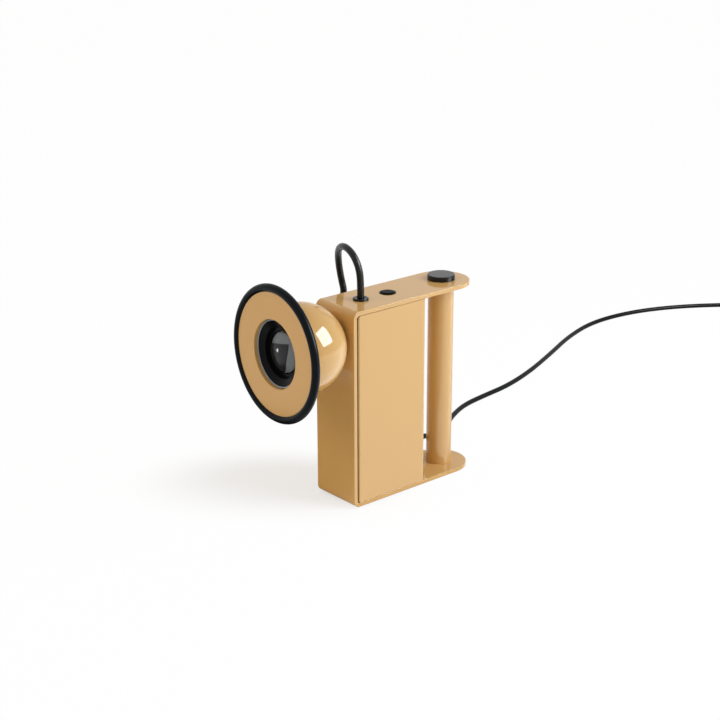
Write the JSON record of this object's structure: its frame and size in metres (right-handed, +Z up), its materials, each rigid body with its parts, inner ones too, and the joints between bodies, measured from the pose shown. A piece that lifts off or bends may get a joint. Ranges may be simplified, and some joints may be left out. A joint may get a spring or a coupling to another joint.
{
  "type": "tabletop searchlight lamp",
  "caption": "Small metal table lamp with a round swivelling searchlight head held on a narrow case with a carrying handle, cable loop and dimmer knob.",
  "frame": {"origin": "middle of the lamp's footprint without its cords, on the surface it stands on", "axes": "+Z up, -Y is where the lamp shines, +Y towards the handle tube, +X to the lamp's own left, away from the cable loop"},
  "size_m": [0.2568, 0.8903, 0.2392],
  "materials": {
    "enamel": "glossy ochre enamel",
    "rim_rubber": "satin black rubber",
    "cable_black": "black braided cable, satin",
    "cord_black": "black flexible sheath, satin",
    "black_plastic": "moulded, satin black",
    "plug_plastic": "moulded, fine texture",
    "knob_metal": "turned, dark satin",
    "black_metal": "semi-gloss black",
    "clear_glass": "clear, polished",
    "lamp_mirror": "faceted reflector",
    "steel": "plain steel",
    "zinc": "bright plated",
    "ceramic_white": "plain white ceramic",
    "board_green": "circuit board",
    "driver_white": "moulded white",
    "brass_pins": "plain brass"
  },
  "bodies": {
    "stand": {"frame_plate": "enamel", "case_shell": "enamel", "handle_tube": "enamel", "tube_insert": "steel", "tube_screw": "zinc", "case_screws": "zinc", "driver_screws": "zinc", "rubber_feet": "rim_rubber", "loop_grommet": "rim_rubber", "switch_body": "black_plastic", "switch_nut": "zinc", "dimmer_body": "steel", "dimmer_nut": "zinc", "seat_ring": "black_plastic", "magnet": "zinc", "magnet_yoke": "steel", "magnet_bridge": "steel", "bridge_spacers": "steel", "bridge_screws": "zinc", "driver_case": "driver_white", "board_posts": "driver_white", "control_board": "board_green", "board_parts": "black_metal", "cord_relief": "black_plastic", "cable_loop": "cable_black", "mains_cord": "cord_black", "cord_coil": "cord_black", "cord_tail": "cord_black", "plug_body": "plug_plastic", "plug_pins": "brass_pins"},
    "dimmer": {"dimmer_knob": "knob_metal", "dimmer_shaft": "steel"},
    "switch": {"push_button": "black_plastic"},
    "cable_entry": {"entry_gland": "black_plastic", "gland_nut": "zinc"},
    "head": {"head_shell": "enamel", "rubber_rim": "rim_rubber", "baffle": "black_metal", "lens_glass": "clear_glass", "reflector_lamp": "lamp_mirror", "lamp_pins": "brass_pins", "lamp_socket": "ceramic_white", "lamp_can": "black_metal", "socket_screws": "zinc"}
  },
  "joints": [
    {"name": "dimmer_turn", "type": "hinge", "parent": "stand", "child": "dimmer", "pos_m": [0, 0.087, 0.194], "axis": [0, 0, 1], "range_deg": [0, 270]},
    {"name": "switch_press", "type": "slide", "parent": "stand", "child": "switch", "axis": [0, 0, -1], "range_m": [0, 0.0012], "stiffness_N_per_m": 900},
    {"name": "head_pan", "type": "hinge", "parent": "stand", "child": "cable_entry", "pos_m": [0, -0.084, 0.1602], "axis": [0, 0, 1], "range_deg": [-35, 35], "deforming": ["cable_loop"]},
    {"name": "head_tilt", "type": "hinge", "parent": "cable_entry", "child": "head", "pos_m": [0, -0.084, 0.1602], "axis": [0.9991, -0.0419, 0], "range_deg": [-50, 40]}
  ]
}
